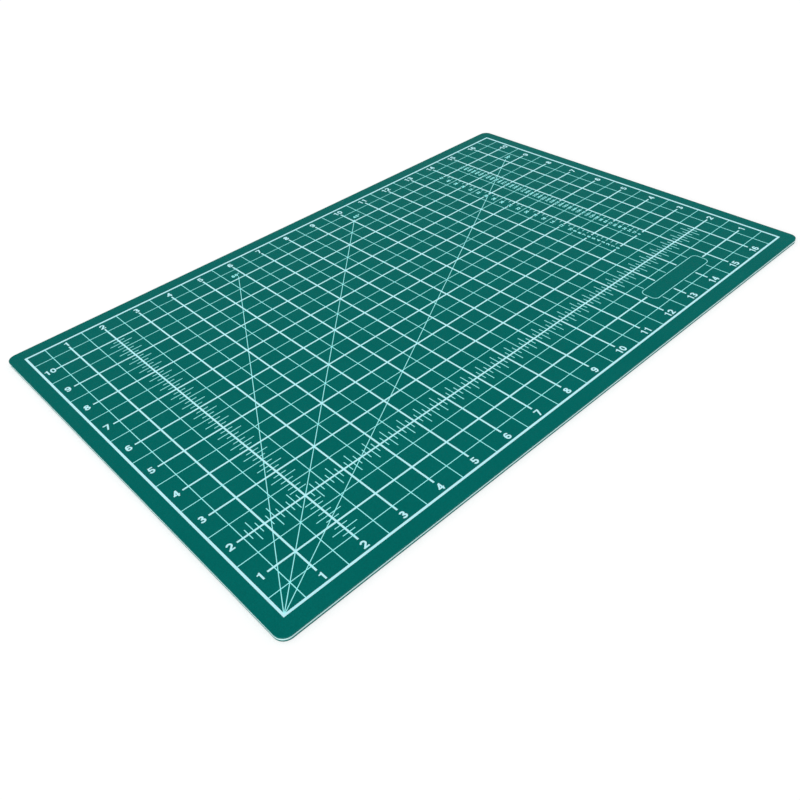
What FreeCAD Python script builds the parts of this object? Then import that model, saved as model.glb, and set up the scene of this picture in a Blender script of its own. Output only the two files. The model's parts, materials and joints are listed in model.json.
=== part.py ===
import FreeCAD, Part
import math
import os

# A laminated cutting mat: three plies of soft plastic with a white measuring net printed on top.
# All lengths are in millimetres. The origin is the middle of the underside, with +X along the
# mat's length, +Y across its width and +Z up through the plies.

# Measuring net: lines one inch apart, inside a frame of whole inches
inch_step = 25.4
inches_long = 17
inches_wide = 11
eighths_per_inch = 8
eighths_per_half_inch = 4
eighths_per_quarter_inch = 2

# Sheet: bare margins from the middle of the frame line to the cut edges, and the three plies
side_margin = 9.1
end_margin = 10.3
corner_radius = 6.0
bottom_ply_thickness = 1.0
core_ply_thickness = 1.0
top_ply_thickness = 1.0

# Ink film, and how wide its lines are
ink_thickness = 0.05
frame_line_width = 1.4
inch_line_width = 1.05
half_inch_line_width = 0.45
tick_line_width = 0.45
angle_line_width = 0.42

# Inch lines stop short of the frame, which leaves room for numbers at their ends
inch_line_setback = 9.0

# Two rulers: ticks on one inch line each way, from the first half inch to the last full inch
ruler_inch = 2
quarter_tick_reach = 7.7
eighth_tick_reach = 3.9
tick_trim_gap = 1.05

# Angle lines fan out of the frame's near left corner. Each ends at a height in inch steps
angle_names = {45: "diagonal_angle_line", 30: "shallow_angle_line", 60: "steep_angle_line"}
angle_top_shares = {45: 10.07, 30: 9.3, 60: 10.1}
smallest_ink_spot_area = 0.15

# Clear room in the net for a title panel, placed in inch steps
panel_room_length = 64.9
panel_room_width = 14.6
panel_middle_shares = (13.515, 1.0)

# Clear rooms for two columns of small numbers that stand on the lines along the mat
small_number_column_shares = (13.75, 14.76)
small_number_room_lengths = (5.6, 6.6)
small_number_room_width = 3.0
small_number_row_shares = (
    (3, 3.5, 4, 4.5, 5, 6, 7, 8, 9, 10),
    (3, 3.5, 4, 4.5, 5, 5.5, 6, 6.5, 7, 7.5, 8, 8.5, 9, 9.5, 10),
)

# Sizes and levels that follow from those above
frame_length = inches_long * inch_step
frame_width = inches_wide * inch_step
mat_length = frame_length + 2 * side_margin
mat_width = frame_width + 2 * end_margin
half_inch_step = inch_step / 2
quarter_inch_step = half_inch_step / 2
core_base = bottom_ply_thickness
top_base = core_base + core_ply_thickness
ink_base = top_base + top_ply_thickness
up = FreeCAD.Vector(0, 0, 1)


def column_place(inches):
    """X of a line across the mat, counted from the left side of the frame."""
    return inches * inch_step - frame_length / 2


def row_place(inches):
    """Y of a line along the mat, counted from the front side of the frame."""
    return inches * inch_step - frame_width / 2


def rounded_face(length, width, radius, base):
    """Flat rectangle with round corners about the middle of the mat, at a base level."""
    corner_sides = ((1, 1), (-1, 1), (-1, -1), (1, -1))
    quarter_turn = math.degrees(math.pi / 2)
    arcs = []
    for turn, (side_x, side_y) in enumerate(corner_sides):
        inset_x = side_x * (length / 2 - radius)
        inset_y = side_y * (width / 2 - radius)
        centre = FreeCAD.Vector(inset_x, inset_y, base)
        arcs.append(Part.makeCircle(radius, centre, up, turn * quarter_turn, (turn + 1) * quarter_turn))
    edges = []
    for arc, next_arc in zip(arcs, arcs[1:] + arcs[:1]):
        edges.append(arc)
        edges.append(Part.makeLine(arc.Vertexes[-1].Point, next_arc.Vertexes[0].Point))
    return Part.Face(Part.Wire(edges))


# Plies: cut by one die, so they share an outline and have square rims

def ply(base, thickness):
    """One ply of the sheet."""
    outline = rounded_face(mat_length, mat_width, corner_radius, base)
    return outline.extrude(thickness * up)


# Straight marks: each is a rectangle (left, front, right, back) that becomes a film on the top ply

def mark_along(middle_y, width, left, right):
    """Rectangle of a line that runs along the mat."""
    return (left, middle_y - width / 2, right, middle_y + width / 2)


def mark_across(middle_x, width, front, back):
    """Rectangle of a line that runs across the mat."""
    return (middle_x - width / 2, front, middle_x + width / 2, back)


def ink_bar(mark):
    """Film of one straight mark."""
    left, front, right, back = mark
    corner = FreeCAD.Vector(left, front, ink_base)
    return Part.makeBox(right - left, back - front, ink_thickness, corner)


def clear_stretches(start, stop, crossings):
    """Stretches between start and stop that the crossings, given as (low, high), leave free."""
    stretches = []
    for low, high in sorted(crossings):
        if start < low < stop:
            stretches.append((start, low))
        start = max(start, high)
    if start < stop:
        stretches.append((start, stop))
    return stretches


# Lines of the net: those along the mat run through, and those across it are broken by them.
# Both stop at the clear rooms

def clear_rooms():
    """Rectangles of the title panel's room and the small numbers' rooms."""
    panel_x = column_place(panel_middle_shares[0])
    panel_y = row_place(panel_middle_shares[1])
    panel_reach = panel_room_length / 2
    rooms = [mark_along(panel_y, panel_room_width, panel_x - panel_reach, panel_x + panel_reach)]
    columns = zip(small_number_column_shares, small_number_room_lengths, small_number_row_shares)
    for column, room_length, rows in columns:
        left = column_place(column) - room_length / 2
        right = column_place(column) + room_length / 2
        rooms += [mark_along(row_place(row), small_number_room_width, left, right) for row in rows]
    return rooms


def lines_along(rows, width, reach, rooms):
    """Lines along the mat, each to a reach on both sides of its middle, outside the clear rooms."""
    marks = []
    for row in rows:
        crossings = []
        for left, front, right, back in rooms:
            if front < row + width / 2 and back > row - width / 2:
                crossings.append((left, right))
        for left, right in clear_stretches(-reach, reach, crossings):
            marks.append(mark_along(row, width, left, right))
    return marks


def lines_across(columns, width, reach, crossed):
    """Lines across the mat, in the stretches between the marks and rooms that they cross."""
    marks = []
    for column in columns:
        crossings = []
        for left, front, right, back in crossed:
            if left < column + width / 2 and right > column - width / 2:
                crossings.append((front, back))
        for front, back in clear_stretches(-reach, reach, crossings):
            marks.append(mark_across(column, width, front, back))
    return marks


def net_marks(rooms):
    """Marks of all the net's lines, by node name."""
    inch_rows = [row_place(inch) for inch in range(1, inches_wide)]
    inch_columns = [column_place(inch) for inch in range(1, inches_long)]
    half_inch_rows = [row_place(inch) + half_inch_step for inch in range(inches_wide)]
    half_inch_columns = [column_place(inch) + half_inch_step for inch in range(inches_long)]
    inch_reach_x = frame_length / 2 - inch_line_setback
    inch_reach_y = frame_width / 2 - inch_line_setback
    half_inch_reach_x = frame_length / 2 - frame_line_width / 2
    half_inch_reach_y = frame_width / 2 - frame_line_width / 2
    inch_along = lines_along(inch_rows, inch_line_width, inch_reach_x, rooms)
    half_along = lines_along(half_inch_rows, half_inch_line_width, half_inch_reach_x, rooms)
    crossed = inch_along + half_along + rooms
    return {
        "inch_lines_along": inch_along,
        "inch_lines_across": lines_across(inch_columns, inch_line_width, inch_reach_y, crossed),
        "half_inch_lines_along": half_along,
        "half_inch_lines_across": lines_across(
            half_inch_columns, half_inch_line_width, half_inch_reach_y, crossed
        ),
    }


# Rulers: a tick is two marks, one on each side of the inch line that carries it. Next to the
# crossing of the two rulers a tick stops short of the marks beside it, or has no room at all

ruler_x = column_place(ruler_inch)
ruler_y = row_place(ruler_inch)
tick_base = inch_line_width / 2
trimmed_reach = quarter_inch_step - tick_line_width / 2 - tick_trim_gap


def tick_places(inches, spacing):
    """Places in eighths of an inch of the ticks that fall between longer ones."""
    places = range(eighths_per_half_inch + 1, (inches - 1) * eighths_per_inch)
    return [place for place in places if place % (2 * spacing) == spacing]


def length_ruler_ticks(spacing, reach, short_reach):
    """Ticks on the ruler along the mat. Next to the other ruler they are short on one side."""
    marks = []
    for place in tick_places(inches_long, spacing):
        offset = place - ruler_inch * eighths_per_inch
        front = short_reach if offset == -spacing else reach
        back = short_reach if offset == spacing else reach
        middle = column_place(place / eighths_per_inch)
        ends = ((ruler_y - front, ruler_y - tick_base), (ruler_y + tick_base, ruler_y + back))
        marks += [mark_across(middle, tick_line_width, low, high) for low, high in ends if low < high]
    return marks


def width_ruler_ticks(spacing, reach, short_reach):
    """Ticks on the ruler across the mat. Next to the other ruler they are short on both sides."""
    marks = []
    for place in tick_places(inches_wide, spacing):
        offset = place - ruler_inch * eighths_per_inch
        end = short_reach if abs(offset) == spacing else reach
        middle = row_place(place / eighths_per_inch)
        ends = ((ruler_x - end, ruler_x - tick_base), (ruler_x + tick_base, ruler_x + end))
        marks += [mark_along(middle, tick_line_width, low, high) for low, high in ends if low < high]
    return marks


def ruler_marks():
    """Marks of both rulers' ticks, by node name."""
    quarter = (eighths_per_quarter_inch, quarter_tick_reach, trimmed_reach)
    eighth = (1, eighth_tick_reach, 0)
    return {
        "length_ruler_quarter_ticks": length_ruler_ticks(*quarter),
        "length_ruler_eighth_ticks": length_ruler_ticks(*eighth),
        "width_ruler_quarter_ticks": width_ruler_ticks(*quarter),
        "width_ruler_eighth_ticks": width_ruler_ticks(*eighth),
    }


# Frame round the net

def frame_line():
    """Closed line with square corners."""
    half_line = frame_line_width / 2
    outer_x = frame_length / 2 + half_line
    outer_y = frame_width / 2 + half_line
    inner_x = frame_length / 2 - half_line
    inner_y = frame_width / 2 - half_line
    outer = ink_bar((-outer_x, -outer_y, outer_x, outer_y))
    return outer.cut(ink_bar((-inner_x, -inner_y, inner_x, inner_y)))


# Angle lines: slanted bars out of the frame's corner, broken by every mark and room that they cross

def meets(mark, angle):
    """Whether a slanted bar out of the frame's corner runs into a straight mark."""
    run = math.cos(math.radians(angle))
    rise = math.sin(math.radians(angle))
    left, front, right, back = mark
    offsets = [
        (y + frame_width / 2) * run - (x + frame_length / 2) * rise
        for x in (left, right)
        for y in (front, back)
    ]
    return min(offsets) < angle_line_width / 2 and max(offsets) > -angle_line_width / 2


def angle_line(angle, marks, neighbours):
    """One angle line, as the pieces that the marks on its way leave. Specks are left out."""
    length = angle_top_shares[angle] * inch_step / math.sin(math.radians(angle))
    start = FreeCAD.Vector(0, -angle_line_width / 2, ink_base)
    bar = Part.makeBox(length, angle_line_width, ink_thickness, start)
    bar.rotate(FreeCAD.Vector(0, 0, 0), up, angle)
    bar.translate(FreeCAD.Vector(-frame_length / 2, -frame_width / 2, 0))
    crossed = [ink_bar(mark) for mark in marks if meets(mark, angle)]
    pieces = bar.cut(crossed + neighbours).Solids
    return [piece for piece in pieces if piece.Volume > smallest_ink_spot_area * ink_thickness]


# Export: one file for each named piece

def export(node, solids):
    """Write one node, as one solid or a group of solids."""
    shape = solids[0] if len(solids) == 1 else Part.makeCompound(solids)
    shape.exportStep("parts/" + node + ".step")
    print(node, len(solids), "solids", round(shape.Volume, 2), "mm3")


os.makedirs("parts", exist_ok=True)
export("bottom_ply", [ply(0, bottom_ply_thickness)])
export("core_ply", [ply(core_base, core_ply_thickness)])
export("top_ply", [ply(top_base, top_ply_thickness)])

frame = frame_line()
export("frame_line", frame.Solids)

rooms = clear_rooms()
straight_marks = {**net_marks(rooms), **ruler_marks()}
for node, marks in straight_marks.items():
    export(node, [ink_bar(mark) for mark in marks])

obstacles = [mark for marks in straight_marks.values() for mark in marks] + rooms
neighbours = [frame]
for angle, node in angle_names.items():
    pieces = angle_line(angle, obstacles, neighbours)
    export(node, pieces)
    neighbours = neighbours + pieces

print("mat", round(mat_length, 2), "by", round(mat_width, 2), "by", round(ink_base + ink_thickness, 2), "mm")
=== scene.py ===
# %% [markdown]
# # Dressing a craft cutting mat
# The real mat is a sheet of three bonded plies with white print on its top. The CAD frame already
# holds the plies and every ruled line of the print as solids. What is left is the small print,
# such as numbers, and the finish of each surface. Both could be painted on the faces as a
# picture, but a picture blurs close by and has no depth. So this lesson makes the print from thin
# films of ink and builds each finish from nodes. All lengths are in metres.

# %% Load the frame
import json
import math

import bpy
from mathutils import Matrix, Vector
from mathutils.geometry import delaunay_2d_cdt

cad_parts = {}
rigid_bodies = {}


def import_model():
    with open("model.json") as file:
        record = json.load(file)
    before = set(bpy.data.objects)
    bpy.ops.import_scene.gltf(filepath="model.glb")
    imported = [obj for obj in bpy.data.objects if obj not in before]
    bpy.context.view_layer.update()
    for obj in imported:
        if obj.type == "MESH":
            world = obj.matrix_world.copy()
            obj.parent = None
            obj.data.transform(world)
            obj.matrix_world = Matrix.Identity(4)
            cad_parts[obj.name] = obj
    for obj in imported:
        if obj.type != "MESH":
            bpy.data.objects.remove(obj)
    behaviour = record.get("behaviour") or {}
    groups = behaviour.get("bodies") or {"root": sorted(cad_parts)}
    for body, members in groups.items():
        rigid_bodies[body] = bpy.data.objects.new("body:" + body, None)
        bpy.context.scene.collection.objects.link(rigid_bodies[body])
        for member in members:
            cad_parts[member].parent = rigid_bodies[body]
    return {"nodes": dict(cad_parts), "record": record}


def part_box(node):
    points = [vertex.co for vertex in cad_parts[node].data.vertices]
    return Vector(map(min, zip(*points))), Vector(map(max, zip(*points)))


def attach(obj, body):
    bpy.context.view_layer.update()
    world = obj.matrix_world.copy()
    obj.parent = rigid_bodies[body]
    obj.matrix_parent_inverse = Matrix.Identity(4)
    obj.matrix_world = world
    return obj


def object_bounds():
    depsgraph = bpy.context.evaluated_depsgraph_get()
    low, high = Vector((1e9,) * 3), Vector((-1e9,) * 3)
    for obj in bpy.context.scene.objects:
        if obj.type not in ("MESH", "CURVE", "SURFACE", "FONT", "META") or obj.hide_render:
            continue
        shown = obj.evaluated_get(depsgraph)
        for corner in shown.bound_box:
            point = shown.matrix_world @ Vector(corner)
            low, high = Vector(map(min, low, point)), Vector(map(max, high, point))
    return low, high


MM = 0.001

for leftover in list(bpy.data.objects):
    bpy.data.objects.remove(leftover)

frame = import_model()
cad_low, cad_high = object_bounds()
print("CAD box in mm:", [round(size / MM, 2) for size in cad_high - cad_low])

# %% [markdown]
# ## Where things are
# Print is laid out in inches from the near left corner of the frame line, as the numbers on the
# mat count. Places could be written in metres from the middle, but then every figure would need a
# sum to check. One helper turns inches into metres, so the rest of the lesson can use the figures
# that a ruler on the mat would show. The levels of ply and ink are read from the frame.

# %% Net places and levels
INCH = 0.0254
NET_INCHES = (17, 11)
ply_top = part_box("top_ply")[1].z
ink_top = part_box("frame_line")[1].z
film_thickness = ink_top - ply_top


def net_place(along, across):
    """X and Y of a point given in inches from the near left corner of the frame line."""
    return (along - NET_INCHES[0] / 2) * INCH, (across - NET_INCHES[1] / 2) * INCH


print("ink film in mm:", round(film_thickness / MM, 3), "on a ply at", round(ply_top / MM, 3))

# %% [markdown]
# ## Tools for finishes
# No surface of the real mat is one flat colour: grain, ink and cut marks change from place to
# place. Pictures of them could be wrapped round the pieces, but each piece would need a map for
# that. Noise needs none. It stands behind the colour, the roughness and the bump, and it reads
# Object coordinates. Every piece here has its place in its mesh, so those are real metres, and
# one divided by a noise scale is about the size of its grains. A few short helpers add such nodes.

# %% Node helper
def add(tree, kind, links=None, values=None, **settings):
    """New node in a tree, with links to its inputs, values of other inputs and its settings."""
    node = tree.nodes.new(kind)
    for name, setting in settings.items():
        setattr(node, name, setting)
    for name, value in (values or {}).items():
        node.inputs[name].default_value = value
    for name, source in (links or {}).items():
        tree.links.new(source, node.inputs[name])
    return node


print("node helper ready")

# %% Finish and shader
def new_finish(name):
    """Material with a node tree of its own."""
    finish = bpy.data.materials.new(name)
    finish.use_nodes = True
    return finish


def set_shader(finish, links, values):
    """Links for the finish's Principled shader, and values that are the same all over."""
    shader = finish.node_tree.nodes["Principled BSDF"]
    for name, source in links.items():
        finish.node_tree.links.new(source, shader.inputs[name])
    for name, value in values.items():
        shader.inputs[name].default_value = value
    print(finish.name, "has", len(finish.node_tree.nodes), "nodes")


print("finish helpers ready")

# %% Noise and its spread
def noise(finish, grain, detail=2.0, stretch=(1, 1, 1)):
    """Soft noise with grains of about that size. A small stretch factor makes them longer."""
    tree = finish.node_tree
    place = add(tree, "ShaderNodeTexCoord").outputs["Object"]
    mapped = add(tree, "ShaderNodeMapping", {"Vector": place}, {"Scale": stretch}).outputs[0]
    values = {"Scale": 1 / grain, "Detail": detail}
    return add(tree, "ShaderNodeTexNoise", {"Vector": mapped}, values).outputs["Fac"]


def spread(finish, source, low, high, start=0.3, stop=0.7):
    """Values between start and stop, spread between low and high."""
    tree = finish.node_tree
    values = {"From Min": start, "From Max": stop, "To Min": low, "To Max": high}
    return add(tree, "ShaderNodeMapRange", {"Value": source}, values).outputs["Result"]


print("noise helpers ready")

# %% Tint and bump
def tint(finish, share, first, second):
    """Mix of two colours by a share. Each is a colour, or the output of another mix."""
    node = add(finish.node_tree, "ShaderNodeMix", {"Factor": share}, data_type="RGBA")
    sockets = [socket for socket in node.inputs if socket.type == "RGBA"]
    for socket, colour in zip(sockets, (first, second)):
        if isinstance(colour, tuple):
            socket.default_value = (*colour, 1)
        else:
            finish.node_tree.links.new(colour, socket)
    return next(socket for socket in node.outputs if socket.type == "RGBA")


def bump(finish, height, strength, depth):
    """Bump of a depth, from a height between 0 and 1."""
    values = {"Strength": strength, "Distance": depth}
    return add(finish.node_tree, "ShaderNodeBump", {"Height": height}, values).outputs["Normal"]


print("tint and bump helpers ready")

# %% [markdown]
# ## Green ply
# The outer plies are soft green plastic, rolled with a fine matte grain so that paper doesn't
# slip on it. The green is deep and even. Only close by do a pebble of about a third of a
# millimetre and larger specks show, with broad clouds in the colour. The grain could be sculpted,
# but that would take millions of faces, and a bump gives the same look with none. The upright cut
# faces are painted a paler green, a painted sheen for the light they catch, so the colour also
# depends on which way a face looks. The piece's own normal tells that, and turns with the piece.

# %% Which faces get the painted sheen
def cut_share(finish):
    """Painted sheen share: 0 on faces that look up or down, 1 on the upright faces the die cut."""
    tree = finish.node_tree
    facing = add(tree, "ShaderNodeTexCoord").outputs["Normal"]
    upward = add(tree, "ShaderNodeSeparateXYZ", {0: facing}).outputs["Z"]
    level = add(tree, "ShaderNodeMath", {0: upward}, operation="ABSOLUTE").outputs[0]
    return spread(finish, level, low=1, high=0, start=0.4, stop=0.6)


print("cut edge helper ready")

# %% Green ply finish
# The last green is a painted sheen for the upright cut faces, paler than the ply.
DEEP_GREEN, CLOUD_GREEN = (0.0004, 0.140, 0.1235), (0.0007, 0.149, 0.132)
SPECK_GREEN, EDGE_SHEEN_GREEN = (0.0003, 0.104, 0.091), (0.01, 0.16, 0.145)

green_ply = new_finish("green_ply_grain")
ply_clouds = noise(green_ply, grain=40 * MM, detail=1.0)
ply_specks = noise(green_ply, grain=0.7 * MM, detail=3.0)
ply_pebble = noise(green_ply, grain=0.32 * MM)
cloud_share = spread(green_ply, ply_clouds, low=0, high=1)
speck_share = spread(green_ply, ply_specks, low=0, high=0.6)
clouded = tint(green_ply, cloud_share, DEEP_GREEN, CLOUD_GREEN)
speckled = tint(green_ply, speck_share, clouded, SPECK_GREEN)
set_shader(green_ply, {
    # Upright cut faces get the paler green, a painted sheen.
    "Base Color": tint(green_ply, cut_share(green_ply), speckled, EDGE_SHEEN_GREEN),
    "Roughness": spread(green_ply, ply_specks, low=0.28, high=0.38),
    "Normal": bump(green_ply, ply_pebble, strength=1.0, depth=0.24 * MM),
}, {"Specular IOR Level": 0.007})

# %% [markdown]
# ## Pale core
# The middle ply is stiffer and paler, and shows only as a light band in the cut edge. The die
# drags a little as it cuts, which leaves fine upright scratches. They could be modelled as
# grooves, but they are finer than a hair. Noise that is stretched along the height gives them to
# the colour, the roughness and the bump alike.

# %% Pale core finish
DULL_CORE, BRIGHT_CORE = (0.49, 0.75, 0.75), (0.55, 0.80, 0.80)
SCRATCHED_CORE = (0.38, 0.60, 0.60)

pale_core = new_finish("pale_core_cut")
core_mottle = noise(pale_core, grain=2.5 * MM)
core_drag = noise(pale_core, grain=0.3 * MM, stretch=(1, 1, 0.08))
mottle_share = spread(pale_core, core_mottle, low=0, high=1)
drag_share = spread(pale_core, core_drag, low=0, high=0.3)
mottled = tint(pale_core, mottle_share, DULL_CORE, BRIGHT_CORE)
set_shader(pale_core, {
    "Base Color": tint(pale_core, drag_share, mottled, SCRATCHED_CORE),
    "Roughness": spread(pale_core, core_drag, low=0.28, high=0.42),
    "Normal": bump(pale_core, core_drag, strength=0.3, depth=0.03 * MM),
}, {"Specular IOR Level": 0.3})

# %% [markdown]
# ## White ink
# The print is a thin film of cool white ink, pressed through a screen. It is nearly opaque, but
# it follows the ply's grain, which leaves it thinner in places, where some green comes through. A
# see-through shader could show that green, but mixing a little of it into the ink's colour looks
# the same and renders faster. Broad marks take a full film. The narrower a mark is, the less ink
# it takes and the greener it looks, so one function makes an ink for each of three widths.

# %% Ink function
def ink_finish(name, dull, bright, thin):
    """Ink that clouds between two colours and wears thin in small spots."""
    ink = new_finish(name)
    clouds = noise(ink, grain=6 * MM)
    spots = noise(ink, grain=0.3 * MM, detail=3.0)
    body = tint(ink, spread(ink, clouds, low=0, high=1), dull, bright)
    thin_share = spread(ink, spots, low=0, high=0.3, start=0.5, stop=0.8)
    set_shader(ink, {
        "Base Color": tint(ink, thin_share, body, thin),
        "Roughness": spread(ink, spots, low=0.45, high=0.6),
        "Normal": bump(ink, spots, strength=1.0, depth=0.1 * MM),
    }, {"Specular IOR Level": 0.05})
    return ink


print("ink function ready")

# %% Three inks
full_ink = ink_finish(
    "full_ink_film", dull=(0.49, 0.87, 0.94), bright=(0.54, 0.91, 0.97), thin=(0.18, 0.55, 0.57)
)
inch_ink = ink_finish(
    "inch_ink_film", dull=(0.47, 0.88, 0.93), bright=(0.52, 0.92, 0.97), thin=(0.17, 0.55, 0.55)
)
light_ink = ink_finish(
    "light_ink_film", dull=(0.33, 0.92, 0.93), bright=(0.37, 0.96, 0.97), thin=(0.11, 0.55, 0.52)
)

# %% [markdown]
# ## Finishes on the CAD nodes
# The solids of the frame get their finishes here. A list of node names and finishes would do, but
# the record already names a material slot for each node, so the slots pick the finish and no node
# is forgotten. The few nodes with broader marks have a richer ink of their own.

# %% Dress the CAD nodes
finish_of_slot = {"green_ply": green_ply, "pale_core": pale_core, "white_ink": light_ink}
finish_of_node = {
    "frame_line": full_ink, "inch_lines_along": inch_ink, "inch_lines_across": inch_ink,
}
for subpart in frame["record"]["subparts"]:
    node = subpart["node"]
    surface = frame["nodes"][node].data
    surface.materials.clear()
    surface.materials.append(finish_of_node.get(node, finish_of_slot[subpart["material_slot"]]))
print("dressed", len(frame["nodes"]), "CAD nodes")

# %% [markdown]
# ## Shapes of the digits
# The numbers on the mat are upright and bold, without serifs, and a 1 has a flag and no foot. A
# text object could give digits, but only in the shapes of its font. Here a digit is a few
# strokes, so that its shape and weight can follow the mat. A stroke is an even band along a line
# or part of an oval, or a straight-sided patch. Strokes may overlap. Digits are one unit high.

# %% Points of an oval
def oval(middle, reach, turn, steps):
    """Points of an oval from one angle to another, in degrees."""
    start, stop = turn
    angles = [math.radians(start + (stop - start) * step / steps) for step in range(steps + 1)]
    return [
        Vector((middle[0] + reach[0] * math.cos(angle), middle[1] + reach[1] * math.sin(angle)))
        for angle in angles
    ]


half_oval = oval((0, 0), (1, 1), (0, 180), steps=12)
print("points of half an oval with 12 steps:", len(half_oval))

# %% Bands
SHARPEST_MITRE = 0.5


def band(line, weight, closed=False):
    """Four-sided pieces of a band of even width along a line."""
    line = [Vector(point) for point in line]
    if closed:
        line = line[:-1]
    count = len(line)
    sides = []
    for index, point in enumerate(line):
        before = line[index - 1] if closed or index else None
        after = line[(index + 1) % count] if closed or index + 1 < count else None
        steps = [(b - a).normalized() for a, b in ((before, point), (point, after)) if a and b]
        along = sum(steps, Vector((0, 0))).normalized()
        mitre = max(along.dot(steps[0]), SHARPEST_MITRE)
        out = Vector((along.y, -along.x)) * weight / 2 / mitre
        sides.append((point + out, point - out))
    pairs = [(sides[i], sides[(i + 1) % count]) for i in range(count if closed else count - 1)]
    return [[first[0], second[0], second[1], first[1]] for first, second in pairs]


print("pieces of a band along it:", len(band(half_oval, weight=0.2)))

# %% Rings, hooks and patches
def mid_reach(reach, weight):
    """Reach of a stroke's middle, where its outer edge has the given reach."""
    return reach[0] - weight / 2, reach[1] - weight / 2


def ring(middle, reach, weight, steps):
    """Closed oval band whose outer edge has that reach."""
    return band(oval(middle, mid_reach(reach, weight), (0, 360), steps), weight, closed=True)


def hook(middle, reach, turn, weight, steps, tail=()):
    """Open oval band, with more points after its end."""
    return band(oval(middle, mid_reach(reach, weight), turn, steps) + list(tail), weight)


def patch(*points):
    """One straight-sided piece, as a list with one piece."""
    return [[Vector(point) for point in points]]


def block(left, low, right, high):
    """One upright rectangle, as a list with one piece."""
    return patch((left, low), (right, low), (right, high), (left, high))


print("pieces of a ring with 12 steps:", len(ring((0, 0), (1, 1), weight=0.2, steps=12)))

# %% Round digits
DIGIT_WIDTH = 0.70
DEGREE_SIGN = 10
BAR_SHARE = 0.88
FEWEST_STEPS = 8


def round_digits(weight, steps):
    """Pieces of the digits that are all curves, and of a degree sign."""
    bar = BAR_SHARE * weight
    six = ring((0.35, 0.32), (0.35, 0.32), weight, steps)
    six += hook((0.385, 0.5), (0.385, 0.5), (38, 190), weight, steps)
    nine = [[Vector((DIGIT_WIDTH - p.x, 1 - p.y)) for p in piece] for piece in six]
    three = hook((0.34, 0.735), (0.31, 0.265), (162, -90), weight, steps)
    three += hook((0.35, 0.285), (0.35, 0.285), (90, -162), weight, steps)
    three += block(0.23, 0.5 - bar / 2, 0.36, 0.5 + bar / 2)
    eight = ring((0.35, 0.745), (0.315, 0.255), weight, steps)
    eight += ring((0.35, 0.285), (0.35, 0.285), weight, steps)
    nought = ring((0.35, 0.5), (0.35, 0.5), weight, steps)
    degree = ring((0.22, 0.8), (0.2, 0.2), 0.6 * weight, max(FEWEST_STEPS, steps // 2))
    return {0: nought, 3: three, 6: six, 8: eight, 9: nine, DEGREE_SIGN: degree}


print("round digits:", sorted(round_digits(weight=0.2, steps=12)))

# %% Digits with straight strokes
def straight_digits(weight, steps):
    """Pieces of the digits that have straight strokes."""
    bar = BAR_SHARE * weight
    stem = 0.54 - weight
    flag_high, flag_low = 0.845, 0.845 - 0.66 * weight
    one = patch(
        (stem, 0), (0.54, 0), (0.54, 1), (stem + 0.06, 1), (stem, 0.9), (stem - 0.1, 0.86),
        (stem - 0.23, flag_high), (stem - 0.23, flag_low), (stem, flag_low),
    )
    two = hook((0.35, 0.66), (0.35, 0.34), (172, -38), weight, steps, [(0.13, 0.1)])
    two += block(0, 0, 0.69, bar)
    four = block(0.42, 0, 0.42 + weight, 1) + block(0, 0.22, 0.72, 0.22 + bar)
    four += patch((0, 0.3), (0.04 + weight, 0.3), (0.45, 0.64 + weight / 2), (0.45, 1), (0.42, 1))
    five = block(0.11, 1 - bar, 0.65, 1)
    five += patch((0.11, 1), (0.1 + 0.9 * weight, 1), (0.05 + 0.9 * weight, 0.54), (0.045, 0.47))
    five += hook((0.345, 0.33), (0.355, 0.33), (146, -163), weight, steps)
    seven = block(0, 1 - bar, 0.69, 1)
    seven += patch((0.15, 0), (0.16 + weight, 0), (0.69, 0.83), (0.69, 0.9), (0.69 - weight, 0.9))
    return {1: one, 2: two, 4: four, 5: five, 7: seven}


print("digits with straight strokes:", sorted(straight_digits(weight=0.2, steps=12)))

# %% [markdown]
# ## Films of ink
# On the mat a digit is one even film with open holes, not a heap of strokes. Strokes could be
# joined with Boolean modifiers, but those are slow and touchy on shapes that share edges.
# Blender's constrained triangulation merges flat shapes at once: it splits all pieces where they
# cross, and what lies in any piece is kept. A second run on the outline alone leaves out the
# splits, so a digit has few faces. The flat shape then gets a top, an underside and side walls,
# which makes it a closed film of the ink's thickness.

# %% Film of a flat shape
def outline(faces):
    """Edges that only one face has, each with the shape on its left."""
    edges = {pair for face in faces for pair in zip(face, face[1:] + face[:1])}
    return sorted((a, b) for a, b in edges if (b, a) not in edges)


def film_mesh(name, points, faces):
    """Closed film on the given faces: top, underside and side walls."""
    count = len(points)
    corners = [(x, y, 0) for x, y in points] + [(x, y, film_thickness) for x, y in points]
    top = [[corner + count for corner in face] for face in faces]
    underside = [face[::-1] for face in faces]
    walls = [(a, b, b + count, a + count) for a, b in outline(faces)]
    mesh = bpy.data.meshes.new(name)
    mesh.from_pydata(corners, [], top + underside + walls)
    mesh.validate()
    return mesh


square_rim = outline([[0, 1, 2, 3]])
print("rim of one square face:", square_rim)

# %% Triangulate an outline
MERGE_GAP = 1e-5
INSIDE_ONLY = 1


def encloses(points, rim, spot):
    """Whether a spot lies in the shape. A line from there to the right then meets an odd number
    of rim edges.
    """
    meets = 0
    for a, b in rim:
        low, high = sorted((points[a], points[b]), key=lambda point: point.y)
        if low.y <= spot.y < high.y:
            meets += low.x + (high.x - low.x) * (spot.y - low.y) / (high.y - low.y) > spot.x
    return meets % 2 == 1


def fill(points, rim):
    """Points of the rim and the triangles that fill it, with holes left open."""
    used = sorted({corner for edge in rim for corner in edge})
    number = {corner: index for index, corner in enumerate(used)}
    edges = [(number[a], number[b]) for a, b in rim]
    flat, _, triangles, _, _, _ = delaunay_2d_cdt(
        [points[corner] for corner in used], edges, [], INSIDE_ONLY, MERGE_GAP
    )
    middles = [sum((flat[corner] for corner in face), Vector((0, 0))) / 3 for face in triangles]
    kept = [list(t) for t, spot in zip(triangles, middles) if encloses(points, rim, spot)]
    return flat, kept


square = block(0, 0, 1, 1)[0]
print("triangles that fill a square:", len(fill(square, square_rim)[1]))

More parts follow.
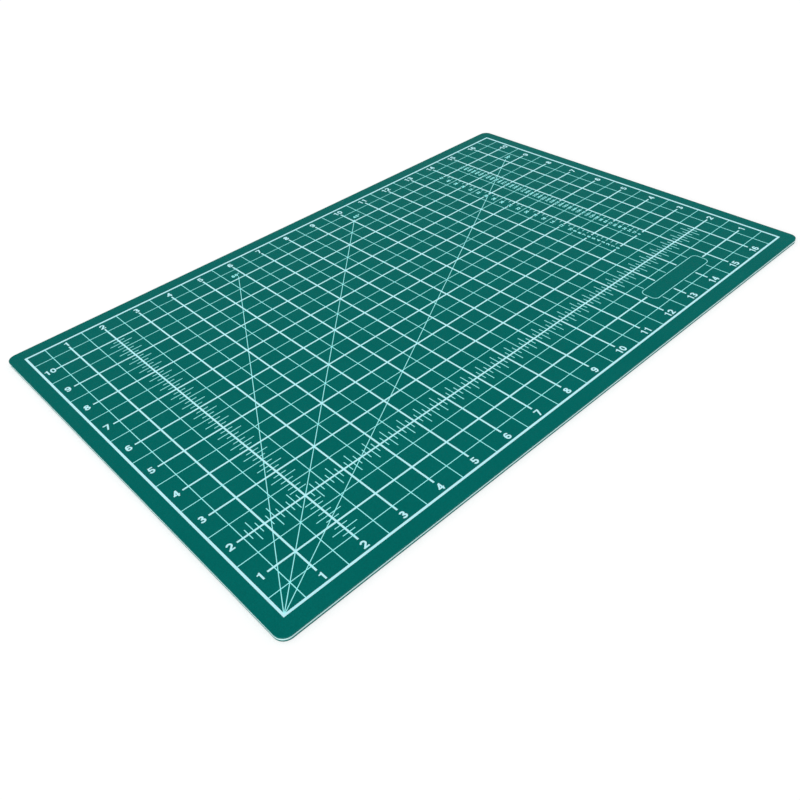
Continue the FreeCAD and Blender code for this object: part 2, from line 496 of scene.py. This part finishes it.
# %% Merge strokes into a film
def merged_film(name, pieces, middle):
    """Film of overlapping pieces, merged into one shape about a middle point."""
    points, faces = [], []
    for piece in pieces:
        area = sum(a.x * b.y - b.x * a.y for a, b in zip(piece, piece[1:] + piece[:1]))
        ordered = piece if area > 0 else piece[::-1]
        faces.append(list(range(len(points), len(points) + len(ordered))))
        points += [point - middle for point in ordered]
    split, _, triangles, _, _, owners = delaunay_2d_cdt(points, [], faces, INSIDE_ONLY, MERGE_GAP)
    rim = outline([list(triangle) for triangle, owner in zip(triangles, owners) if owner])
    return film_mesh(name, *fill(split, rim))


print("merging helper ready")

# %% Two sets of digits
DIGIT_MIDDLE = Vector((DIGIT_WIDTH / 2, 0.5))


def digit_collection(name, weight, steps):
    """Collection of digit films, in the order of their names. It isn't part of the scene."""
    collection = bpy.data.collections.new(name)
    shapes = {**round_digits(weight, steps), **straight_digits(weight, steps)}
    for digit in sorted(shapes):
        title = f"{name}_{digit:02d}"
        film = merged_film(title, shapes[digit], DIGIT_MIDDLE)
        collection.objects.link(bpy.data.objects.new(title, film))
    return collection


bold_digits = digit_collection("bold_digit", weight=0.2, steps=22)
small_digits = digit_collection("small_digit", weight=0.215, steps=12)

# %% [markdown]
# ## Stamping numbers with Geometry Nodes
# The same few digits repeat all over the mat. Each number could be an object of its own, or a
# loop could copy meshes, but a node tree does the repeating in one place. It takes one point for
# each digit, picks the film that the point's number asks for and scales it to the label's height.
# The tree ends in Realize Instances and Set Material, because only real faces are exported.

# %% Start and end of a tree
def new_tree(name, inputs):
    """Geometry tree with the named inputs, and the sockets at its start and end."""
    tree = bpy.data.node_groups.new(name, "GeometryNodeTree")
    for title, kind in inputs.items():
        tree.interface.new_socket(title, in_out="INPUT", socket_type="NodeSocket" + kind)
    tree.interface.new_socket("Geometry", in_out="OUTPUT", socket_type="NodeSocketGeometry")
    return tree, add(tree, "NodeGroupInput").outputs, add(tree, "NodeGroupOutput").inputs


def end_tree(tree, instances, ink, output):
    """Realize the instances and give them their ink."""
    real = add(tree, "GeometryNodeRealizeInstances", {"Geometry": instances})
    inked = add(tree, "GeometryNodeSetMaterial", {"Geometry": real.outputs[0], "Material": ink})
    tree.links.new(inked.outputs[0], output["Geometry"])
    print(tree.name, "has", len(tree.nodes), "nodes")


print("tree helpers ready")

# %% The stamping tree
stamp_inputs = {
    "Geometry": "Geometry", "Digit Films": "Collection",
    "Digit Height": "Float", "Ink": "Material",
}
stamp_tree, given, output = new_tree("stamp_digits", stamp_inputs)
films = add(
    stamp_tree, "GeometryNodeCollectionInfo", {"Collection": given["Digit Films"]},
    {"Separate Children": True, "Reset Children": True},
)
which = add(
    stamp_tree, "GeometryNodeInputNamedAttribute", None, {"Name": "digit"}, data_type="INT"
)
size = add(
    stamp_tree, "ShaderNodeCombineXYZ",
    {"X": given["Digit Height"], "Y": given["Digit Height"]}, {"Z": 1},
)
stamped = add(stamp_tree, "GeometryNodeInstanceOnPoints", {
    "Points": given["Geometry"],
    "Instance": films.outputs["Instances"],
    "Instance Index": which.outputs["Attribute"],
    "Scale": size.outputs["Vector"],
}, {"Pick Instance": True})
end_tree(stamp_tree, stamped.outputs["Instances"], given["Ink"], output)

# %% Bake a tree into a piece
def put_in_scene(name, data):
    """New object in the scene, at the origin."""
    thing = bpy.data.objects.new(name, data)
    bpy.context.scene.collection.objects.link(thing)
    return thing


def bake(name, mesh, tree, values):
    """Piece made by a tree from a mesh. It becomes a plain mesh that rides on the mat."""
    piece = put_in_scene(name, mesh)
    modifier = piece.modifiers.new("print", "NODES")
    modifier.node_group = tree
    for socket in tree.interface.items_tree:
        if socket.in_out == "INPUT" and socket.name in values:
            modifier[socket.identifier] = values[socket.name]
    evaluated = piece.evaluated_get(bpy.context.evaluated_depsgraph_get())
    result = bpy.data.meshes.new_from_object(evaluated)
    piece.modifiers.clear()
    piece.data = result
    result.name = name
    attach(piece, "root")
    print(name, "has", len(result.polygons), "faces")


print("baking helper ready")

# %% Stamp labels
def stamp(name, labels, films, ink, height, pitch):
    """Numbers of one height and ink. A label is its text and its middle in inches, and the pitch
    of its digits is a share of their height.
    """
    places, digits = [], []
    for text, along, across in labels:
        x, y = net_place(along, across)
        left = x - (len(text) - 1) * pitch * height / 2
        for index, sign in enumerate(text):
            places.append((left + index * pitch * height, y, ply_top))
            digits.append(DEGREE_SIGN if sign == "°" else int(sign))
    mesh = bpy.data.meshes.new(name + "_places")
    mesh.from_pydata(places, [], [])
    mesh.attributes.new("digit", "INT", "POINT").data.foreach_set("value", digits)
    bake(name, mesh, stamp_tree, {"Digit Films": films, "Digit Height": height, "Ink": ink})


print("stamping helper ready")

# %% [markdown]
# ## Edge numbers
# Both long sides carry 1 to 16 and both short sides 1 to 10, all upright for someone who sits at
# the near long side. They could be typed in one by one, but each stands at the end of an inch
# line, so the inch itself gives the text and the place.

# %% Stamp the edge numbers
NUMBER_ROWS, NUMBER_COLUMNS = (0.178, 10.79), (0.2, 16.78)
edge_labels = [
    (str(inch), inch, row) for row in NUMBER_ROWS for inch in range(1, NET_INCHES[0])
]
edge_labels += [
    (str(inch), column, inch) for column in NUMBER_COLUMNS for inch in range(1, NET_INCHES[1])
]
stamp("edge_numbers", edge_labels, bold_digits, full_ink, height=4.9 * MM, pitch=0.79)

# %% [markdown]
# ## Angle labels
# Small figures at the far ends of the three angle lines give their slopes. Their places could be
# worked out from the slopes, but each label is set a little aside, where the net leaves room for
# it. There are only three, so a list of them is the plainest way.

# %% Stamp the angle labels
angle_labels = [("60°", 5.83, 10.21), ("45°", 10.275, 10.19), ("30°", 16.30, 9.345)]
stamp("angle_labels", angle_labels, small_digits, light_ink, height=3.1 * MM, pitch=0.86)

# %% [markdown]
# ## Numbers of the fine scales
# Two columns near the right side carry fine scales: six ticks to the inch, each with a small
# number. The first counts ticks, and leaves out odd ones above ten. The second counts twelve for
# each tick, and its longer numbers are a little smaller. With so many of them, a loop over the
# ticks is shorter and safer than two lists.

# %% Stamp the scale numbers
SCALE_FIRST_INCH, SCALE_LAST_TICK, TICKS_PER_INCH = 3, 42, 6
LAST_TICK_BY_ONES, DOZEN = 10, 12
TICK_COLUMN, DOZEN_COLUMN = 13.74, 14.745
tick_labels, dozen_labels = [], []
for tick in range(SCALE_LAST_TICK + 1):
    across = SCALE_FIRST_INCH + tick / TICKS_PER_INCH
    if tick <= LAST_TICK_BY_ONES or tick % 2 == 0:
        tick_labels.append((str(tick), TICK_COLUMN, across))
    dozen_labels.append((str(DOZEN * tick), DOZEN_COLUMN, across))
stamp("tick_numbers", tick_labels, small_digits, light_ink, height=2.75 * MM, pitch=0.75)
stamp("dozen_numbers", dozen_labels, small_digits, light_ink, height=2.3 * MM, pitch=0.83)

# %% [markdown]
# ## Ticks of the fine scales
# The ticks of both scales are one comb, made once and set on two columns. An Array modifier could
# repeat a tick, but it can't leave some out, and every third place already has a line of the net.
# So a second tree lays a line of points, deletes every third one, puts a tick on each point that
# is left, and sets the whole comb on a line of columns.

# %% Points of the comb
TICKS_PER_NET_LINE = 3
comb_inputs = {
    "Tick Count": "Int", "Tick Spacing": "Float", "Tick Size": "Vector", "First Tick": "Vector",
    "Column Count": "Int", "Column Spacing": "Float", "Ink": "Material",
}
comb_tree, given, output = new_tree("tick_comb", comb_inputs)
step_up = add(comb_tree, "ShaderNodeCombineXYZ", {"Y": given["Tick Spacing"]}).outputs[0]
tick_line = add(
    comb_tree, "GeometryNodeMeshLine", {"Count": given["Tick Count"], "Offset": step_up}
).outputs[0]
number = add(comb_tree, "GeometryNodeInputIndex").outputs[0]
remainder = add(
    comb_tree, "ShaderNodeMath", {0: number}, {1: TICKS_PER_NET_LINE}, operation="MODULO"
).outputs[0]
# A remainder under one half is 0, and the net has a line there.
on_net = add(
    comb_tree, "ShaderNodeMath", {0: remainder}, {1: 0.5}, operation="LESS_THAN"
).outputs[0]
free_points = add(
    comb_tree, "GeometryNodeDeleteGeometry", {"Geometry": tick_line, "Selection": on_net},
    domain="POINT",
).outputs[0]
print("comb tree so far:", len(comb_tree.nodes), "nodes")

# %% Ticks on the points
tick = add(comb_tree, "GeometryNodeMeshCube", {"Size": given["Tick Size"]}).outputs["Mesh"]
comb = add(
    comb_tree, "GeometryNodeInstanceOnPoints", {"Points": free_points, "Instance": tick}
).outputs["Instances"]
step_over = add(comb_tree, "ShaderNodeCombineXYZ", {"X": given["Column Spacing"]}).outputs[0]
columns = add(comb_tree, "GeometryNodeMeshLine", {
    "Count": given["Column Count"], "Start Location": given["First Tick"], "Offset": step_over,
}).outputs[0]
combs = add(comb_tree, "GeometryNodeInstanceOnPoints", {"Points": columns, "Instance": comb})
end_tree(comb_tree, combs.outputs["Instances"], given["Ink"], output)

# %% Set the fine ticks
FIRST_SCALE_LINE, SCALE_COUNT = 14, 2
tick_length, tick_width, inch_line_half = 2.9 * MM, 0.40 * MM, 0.52 * MM
first_x, first_y = net_place(FIRST_SCALE_LINE, SCALE_FIRST_INCH)
first_tick = (first_x - inch_line_half - tick_length / 2, first_y, ply_top + film_thickness / 2)
bake("fine_scale_ticks", bpy.data.meshes.new("no_points"), comb_tree, {
    "Tick Count": SCALE_LAST_TICK + 1,
    "Tick Spacing": INCH / TICKS_PER_INCH,
    "Tick Size": (tick_length, tick_width, film_thickness),
    "First Tick": first_tick,
    "Column Count": SCALE_COUNT,
    "Column Spacing": INCH,
    "Ink": light_ink,
})

# %% [markdown]
# ## Title panel
# The net leaves a clear box near the right end of the front, framed by a thin line with round
# corners. Its inside stays bare. A curve with a profile could follow the outline, but would give
# a round wire. Two loops of points with a ring of faces between them give a flat line of even
# width, and the film helper from the digits closes it.

# %% Rounded loop
CORNER_STEPS = 10


def rounded_loop(middle, length, width, radius):
    """Points round a rectangle with round corners."""
    points = []
    for turn, (side_x, side_y) in enumerate(((1, 1), (-1, 1), (-1, -1), (1, -1))):
        centre = (
            middle[0] + side_x * (length / 2 - radius), middle[1] + side_y * (width / 2 - radius)
        )
        points += oval(centre, (radius, radius), (90 * turn, 90 * turn + 90), CORNER_STEPS)
    return points


def faces_between(count):
    """Ring of faces between an outer loop of so many points and the inner loop after it."""
    return [[i, (i + 1) % count, count + (i + 1) % count, count + i] for i in range(count)]


print("points of a loop:", len(rounded_loop((0, 0), length=4, width=2, radius=0.5)))

# %% Title panel outline
panel_middle = net_place(13.515, 1.0)
panel_length, panel_width, panel_radius, panel_line = 62.45 * MM, 12.2 * MM, 3.5 * MM, 0.42 * MM
outer, inner = [
    rounded_loop(
        panel_middle, panel_length + side * panel_line, panel_width + side * panel_line,
        panel_radius + side * panel_line / 2,
    )
    for side in (1, -1)
]
panel_mesh = film_mesh("title_panel_outline", outer + inner, faces_between(len(outer)))
for corner in panel_mesh.vertices:
    corner.co.z += ply_top
panel_mesh.materials.append(light_ink)
title_panel = put_in_scene("title_panel_outline", panel_mesh)
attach(title_panel, "root")
print("title panel outline has", len(panel_mesh.polygons), "faces")

# %% [markdown]
# ## Clearing up
# The digit films were only stamps. They could be hidden, but what is baked no longer needs them,
# so they are removed and only pieces of the mat are left.

# %% Clear the stamps away
for collection in (bold_digits, small_digits):
    for digit in list(collection.objects):
        bpy.data.objects.remove(digit)
    bpy.data.collections.remove(collection)

# %% [markdown]
# ## Floor
# The mat lies on a white floor that takes a faint shadow. More lamps could burn the floor to
# white, but they would bleach the mat as well. Instead the floor glows a little, and only for the
# camera and for reflections, so the mat gets none of that light. Under the mat the floor is left
# open, so that the underside can be looked at too.

# %% Light path helper
def seen_share(tree):
    """1 for rays from the camera, a reflection or a see-through surface, and otherwise 0."""
    path = add(tree, "ShaderNodeLightPath").outputs
    first = {0: path["Is Camera Ray"], 1: path["Is Glossy Ray"]}
    seen = add(tree, "ShaderNodeMath", first, operation="MAXIMUM").outputs[0]
    second = {0: seen, 1: path["Is Transmission Ray"]}
    return add(tree, "ShaderNodeMath", second, operation="MAXIMUM").outputs[0]


print("light path helper ready")

# %% Floor sheet
floor_reach, floor_level, hidden_rim = 6.0, -0.1 * MM, 3 * MM
opening = (cad_high.x - hidden_rim, cad_high.y - hidden_rim)
quarters = ((-1, -1), (1, -1), (1, 1), (-1, 1))
floor_corners = [(floor_reach * x, floor_reach * y, floor_level) for x, y in quarters]
floor_corners += [(opening[0] * x, opening[1] * y, floor_level) for x, y in quarters]
floor_mesh = bpy.data.meshes.new("floor")
floor_mesh.from_pydata(floor_corners, [], faces_between(len(quarters)))
floor = put_in_scene("floor", floor_mesh)
print("floor level in mm:", round(floor_level / MM, 2))

# %% Floor paint
PURE_WHITE, FLOOR_WHITE = (1, 1, 1, 1), (0.6, 0.6, 0.6, 1)
FLOOR_GLOW = 0.42

floor_paint = new_finish("white_floor")
glow = add(
    floor_paint.node_tree, "ShaderNodeMath",
    {0: seen_share(floor_paint.node_tree)}, {1: FLOOR_GLOW}, operation="MULTIPLY",
)
set_shader(floor_paint, {"Emission Strength": glow.outputs[0]}, {
    "Base Color": FLOOR_WHITE, "Emission Color": PURE_WHITE, "Roughness": 0.9,
    "Specular IOR Level": 0.0,
})
floor_mesh.materials.append(floor_paint)

# %% [markdown]
# ## Surround
# Most of the light is soft and comes from all round, as in a white tent. A ring of area lamps
# could give it, but a white world is more even. The same light path trick shows the world as pure
# white and lights the mat a little less, which leaves room for one lamp.

# %% World
SURROUND_LIGHT, SURROUND_SHOWN = 0.76, 1.0

world = bpy.data.worlds.new("white_surround")
world.use_nodes = True
bpy.context.scene.world = world
surround = world.node_tree
lighting = surround.nodes["Background"]
lighting.inputs["Color"].default_value = PURE_WHITE
lighting.inputs["Strength"].default_value = SURROUND_LIGHT
shown = add(
    surround, "ShaderNodeBackground", None, {"Color": PURE_WHITE, "Strength": SURROUND_SHOWN}
)
chooser = add(surround, "ShaderNodeMixShader", {
    0: seen_share(surround), 1: lighting.outputs[0], 2: shown.outputs[0],
})
surround.links.new(chooser.outputs[0], surround.nodes["World Output"].inputs["Surface"])
print("world strength", SURROUND_LIGHT, "and shown as", SURROUND_SHOWN)

# %% [markdown]
# ## Side lamp
# One broad lamp stands low at the left, a little to the front, and makes the left edge brighter
# than the front one. An area lamp would fall off along the mat. A sun lamp with a wide angle is
# even from end to end, and its shadows are as soft.

# %% Side lamp
light_path = Vector((1, 0.35, -0.45))
side_light = bpy.data.lights.new("side_lamp", "SUN")
side_light.energy = 2.0
side_light.angle = math.radians(50)
side_lamp = put_in_scene("side_lamp", side_light)
side_lamp.rotation_euler = light_path.to_track_quat("-Z", "Y").to_euler()
print("side lamp strength", side_light.energy)

# %% [markdown]
# ## Camera
# A camera could be moved by hand until the picture looks right. The net allows something better:
# its corners are known inches, so the camera's place, turn and lens were solved from where they
# appear in the photograph. A sideways shift stands for the way that the picture was cropped.

# %% Camera
CAMERA_PLACE = (-0.3039, -0.3506, 0.3063)
CAMERA_DEGREES = (49.433, 3.813, -43.755)

lens = bpy.data.cameras.new("camera")
lens.sensor_width = 36.0
lens.lens = 36.85
lens.shift_x = -0.03
lens.clip_start = 0.01
camera = put_in_scene("camera", lens)
camera.location = CAMERA_PLACE
camera.rotation_euler = [math.radians(turn) for turn in CAMERA_DEGREES]
bpy.context.scene.camera = camera
bpy.context.scene.view_settings.view_transform = "Standard"
print("camera", round(camera.location.length, 3), "m from the mat's middle")
